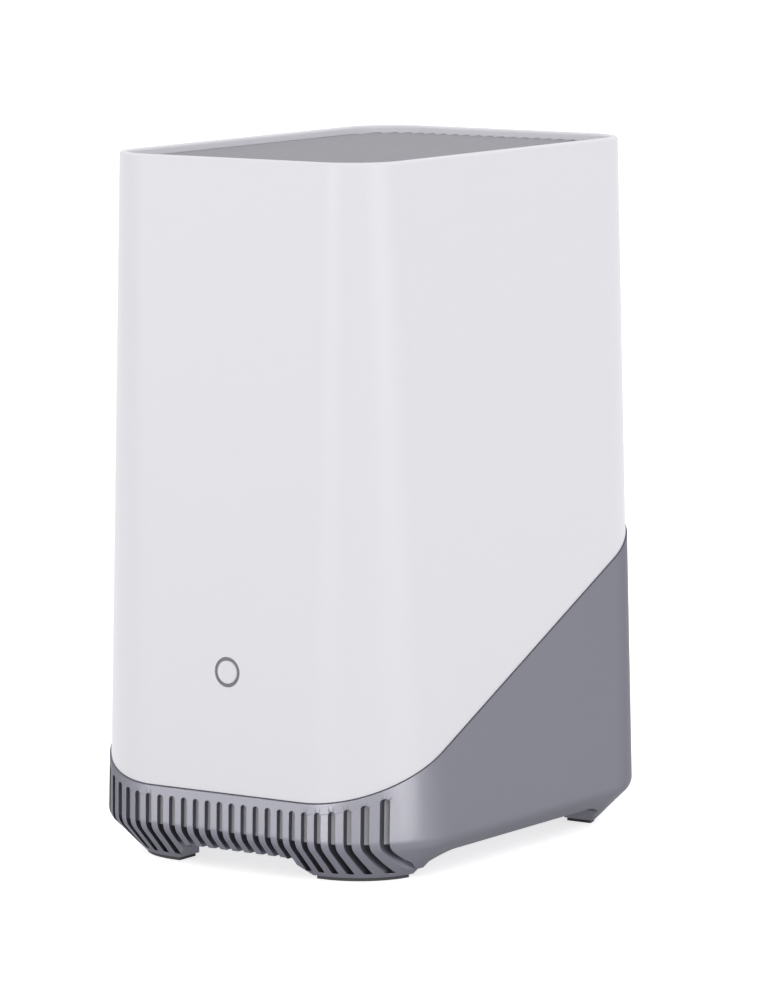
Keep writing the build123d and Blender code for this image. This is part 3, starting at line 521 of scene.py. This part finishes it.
@dataclass
class Housing:
    """The grey lower housing: the CAD shape with its edges eased.

    The narrow webs round the ports stay as they are. Faces under `feet_top` are split into triangles.
    """

    ports: tuple[str, ...] = ("network_socket", "usb_socket", "dc_socket")
    port_room: float = 3 * MM
    port_depth: float = 0.5 * MM
    edge_round: float = 0.12 * MM
    edge_segments: int = 2
    flat_under: float = 0.4
    feet_top: float = 12 * MM
    sharp_over: float = 30.0

    def build(self, wardrobe: Wardrobe) -> bpy.types.Object:
        """Copy the CAD shape, merge it, ease its edges and dress it.

        Args:
            wardrobe: Hands out the finishes.

        Returns:
            The housing, in place of its CAD node.
        """
        bm = bmesh.new()
        bm.from_mesh(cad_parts["lower_housing"].data)
        bmesh.ops.remove_doubles(bm, verts=bm.verts, dist=CLOSE)
        bmesh.ops.dissolve_limit(
            bm, angle_limit=math.radians(self.flat_under), verts=bm.verts, edges=bm.edges)
        feet = [face for face in bm.faces if max(vert.co.z for vert in face.verts) < self.feet_top]
        bmesh.ops.triangulate(bm, faces=feet, quad_method="BEAUTY", ngon_method="BEAUTY")
        for face in bm.faces:
            face.smooth = True
        weight = bm.edges.layers.float.new("bevel_weight_edge")
        low, high = self.port_region()
        for edge in bm.edges:
            inside = all(
                low[axis] < vert.co[axis] < high[axis] for vert in edge.verts for axis in range(3))
            if edge.calc_face_angle(0.0) > math.radians(self.sharp_over):
                edge[weight] = 0.0 if inside else 1.0
                edge.smooth = not inside
        piece = to_object(bm, "housing_shell")
        ease = piece.modifiers.new("eased_edges", "BEVEL")
        ease.width = self.edge_round
        ease.segments = self.edge_segments
        ease.limit_method = "WEIGHT"
        ease.use_clamp_overlap = False
        ease.face_strength_mode = "FSTR_ALL"
        weigh = piece.modifiers.new("even_normals", "WEIGHTED_NORMAL")
        weigh.keep_sharp = True
        weigh.use_face_influence = True
        bake_modifiers(piece)
        wardrobe.dress(piece, SILVER_PAINT)
        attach(piece, "base")
        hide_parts("lower_housing")
        return piece

    def port_region(self) -> tuple[Vector, Vector]:
        """Find the space round the port openings, behind the bay's mouth.

        Returns:
            Its lowest and its highest corner.
        """
        boxes = [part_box(name) for name in self.ports]
        low = Vector([min(box[0][axis] for box in boxes) - self.port_room for axis in range(3)])
        high = Vector([max(box[1][axis] for box in boxes) + self.port_room for axis in range(3)])
        high.y += self.port_depth - self.port_room
        return low, high


@dataclass
class Baffle:
    """The grey wall that closes the front slots a little way in, so that they read as grooves."""

    form: BodyForm
    inset: float = 1.65 * MM
    thickness: float = 1.6 * MM
    low: float = 12.4 * MM
    high: float = 29 * MM
    under_seam: float = 1.2 * MM
    back: float = -40.5 * MM

    def build(self, wardrobe: Wardrobe) -> bpy.types.Object:
        """Model the wall as the front part of a band and dress it.

        Args:
            wardrobe: Hands out the finishes.

        Returns:
            The wall, in place of its CAD node.
        """
        bm = bmesh.new()
        rims = [self.form.loop(bm, z, self.inset) for z in (self.low, self.high)]
        bmesh.ops.bridge_loops(bm, edges=rims[0] + rims[1])
        cuts = [
            (self.form.seam_point(-self.under_seam), self.form.seam_normal()),
            (Vector((0.0, self.back, 0.0)), Vector((0.0, 1.0, 0.0)))]
        for point, normal in cuts:
            bmesh.ops.bisect_plane(
                bm, geom=bm.verts[:] + bm.edges[:] + bm.faces[:], plane_co=point, plane_no=normal,
                clear_outer=True)
        middle = Vector((0.0, self.back, self.low))
        inward = [face for face in bm.faces if face.normal.dot(face.calc_center_median() - middle) < 0]
        bmesh.ops.reverse_faces(bm, faces=inward)
        bmesh.ops.solidify(bm, geom=bm.faces[:], thickness=self.thickness)
        bmesh.ops.recalc_face_normals(bm, faces=bm.faces)
        piece = to_object(bm, "slot_wall")
        smooth(piece)
        wardrobe.dress(piece, BAFFLE_GREY)
        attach(piece, "base")
        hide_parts("vent_baffle")
        return piece


@dataclass(frozen=True)
class Softbox:
    """One square area lamp, aimed at the body's middle.

    A `card` only shows in reflections, so that it shapes the metallic paint and leaves the white alone.
    """

    name: str
    azimuth: float
    elevation: float
    distance: float
    size: float
    power: float
    card: bool = False

    def make(self, target: Vector) -> None:
        """Add the lamp.

        Args:
            target: The point that it is aimed at.
        """
        lamp = bpy.data.lights.new(self.name, "AREA")
        lamp.shape = "SQUARE"
        lamp.size = self.size
        lamp.energy = self.power
        lamp.color = CARD_WHITE if self.card else LAMP_WHITE
        holder = bpy.data.objects.new(self.name, lamp)
        turn, rise = math.radians(self.azimuth), math.radians(self.elevation)
        away = direction(turn, rise)
        holder.location = target + away * self.distance
        holder.rotation_euler = away.to_track_quat("Z", "Y").to_euler()
        holder.visible_diffuse = not self.card
        bpy.context.scene.collection.objects.link(holder)


@dataclass
class Studio:
    """Camera, lamps, floor and background."""

    azimuth: float = 0.591
    elevation: float = 0.133
    roll: float = -0.0015
    distance: float = 1.70347
    target_shift: float = 3.539 * MM
    target_height: float = 100.285 * MM
    lens: float = 207.32
    film: float = 36.0
    floor_size: float = 12.0
    ambient: float = 0.975
    floor_colour: Colour = (0.8, 0.8, 0.8)
    floor_roughness: float = 0.9
    floor_glow: float = 0.7
    lamps: list[Softbox] = field(default_factory=lambda: [
        Softbox("key", 60.0, 50.0, 1.6, 0.8, 1.6),
        Softbox("front_card", -38.0, 3.0, 1.6, 0.35, 6.5, card=True),
        Softbox("corner_card", -2.0, 5.0, 1.6, 0.55, 18.0, card=True),
        Softbox("middle_card", 36.0, 6.0, 1.6, 0.45, 5.0, card=True),
        Softbox("side_card", 79.0, 5.0, 1.6, 0.95, 28.0, card=True),
    ])

    def build(self) -> None:
        """Set up everything round the object."""
        self.make_camera()
        self.make_world()
        self.make_floor()
        for lamp in self.lamps:
            lamp.make(Vector((0.0, 0.0, self.target_height)))
        bpy.context.scene.view_settings.view_transform = "Standard"

    def make_camera(self) -> None:
        """Place the camera where the photograph was taken from."""
        back = direction(self.azimuth, self.elevation)
        across = Vector((math.cos(self.azimuth), math.sin(self.azimuth), 0.0))
        upward = back.cross(across)
        right = across * math.cos(self.roll) + upward * math.sin(self.roll)
        up = upward * math.cos(self.roll) - across * math.sin(self.roll)
        target = across * self.target_shift + Vector((0.0, 0.0, self.target_height))
        lens = bpy.data.cameras.new("camera")
        lens.sensor_fit = "VERTICAL"
        lens.sensor_height = self.film
        lens.lens = self.lens
        lens.clip_end = 2 * self.floor_size
        camera = bpy.data.objects.new("camera", lens)
        matrix = Matrix((right, up, back)).transposed().to_4x4()
        matrix.translation = target + back * self.distance
        camera.matrix_world = matrix
        bpy.context.scene.collection.objects.link(camera)
        bpy.context.scene.camera = camera

    @staticmethod
    def seen_rays(tree: bpy.types.NodeTree) -> bpy.types.NodeSocket:
        """One for camera, glossy and transmission rays, and nought for the rest.

        Args:
            tree: The node tree that it is added to.

        Returns:
            The socket that carries it.
        """
        path = tree.nodes.new("ShaderNodeLightPath")
        total = path.outputs["Is Camera Ray"]
        for name in ("Is Glossy Ray", "Is Transmission Ray"):
            most = tree.nodes.new("ShaderNodeMath")
            most.operation = "MAXIMUM"
            tree.links.new(total, most.inputs[0])
            tree.links.new(path.outputs[name], most.inputs[1])
            total = most.outputs[0]
        return total

    def make_world(self) -> None:
        """Even light all round, and a white background where it is seen."""
        world = bpy.data.worlds.new("studio")
        world.use_nodes = True
        tree = world.node_tree
        glow = tree.nodes["Background"]
        glow.inputs["Color"].default_value = (1.0, 1.0, 1.0, 1.0)
        level = tree.nodes.new("ShaderNodeMapRange")
        level.inputs["To Min"].default_value = self.ambient
        level.inputs["To Max"].default_value = 1.0
        tree.links.new(self.seen_rays(tree), level.inputs["Value"])
        tree.links.new(level.outputs["Result"], glow.inputs["Strength"])
        bpy.context.scene.world = world

    def make_floor(self) -> None:
        """A plain pale floor that reads as white and keeps the object's shadow."""
        bm = bmesh.new()
        bmesh.ops.create_grid(bm, x_segments=1, y_segments=1, size=self.floor_size / 2)
        floor = to_object(bm, "floor")
        material = bpy.data.materials.new("floor_white")
        material.use_nodes = True
        tree = material.node_tree
        shader = tree.nodes["Principled BSDF"]
        shader.inputs["Base Color"].default_value = self.floor_colour + (1.0,)
        shader.inputs["Roughness"].default_value = self.floor_roughness
        shader.inputs["Specular IOR Level"].default_value = 0.0
        shader.inputs["Emission Color"].default_value = (1.0, 1.0, 1.0, 1.0)
        level = tree.nodes.new("ShaderNodeMath")
        level.operation = "MULTIPLY"
        level.inputs[1].default_value = self.floor_glow
        tree.links.new(self.seen_rays(tree), level.inputs[0])
        tree.links.new(level.outputs[0], shader.inputs["Emission Strength"])
        floor.data.materials.append(material)


def dress_nodes(wardrobe: Wardrobe) -> None:
    """Give every CAD node its finish.

    Args:
        wardrobe: Hands out the finishes.
    """
    for finish, names in NODE_FINISHES.items():
        for name in names:
            wardrobe.dress(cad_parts[name], finish)


def main() -> None:
    """Build the pieces in order, then the studio."""
    logging.basicConfig(level=logging.INFO, format="%(message)s")
    wardrobe = Wardrobe()
    dress_nodes(wardrobe)
    form = BodyForm()
    for part in (Sleeve(form), Housing(), Baffle(form)):
        piece = part.build(wardrobe)
        log.info("%s: %d faces", piece.name, len(piece.data.polygons))
    Studio().build()


if __name__ == "__main__":
    main()
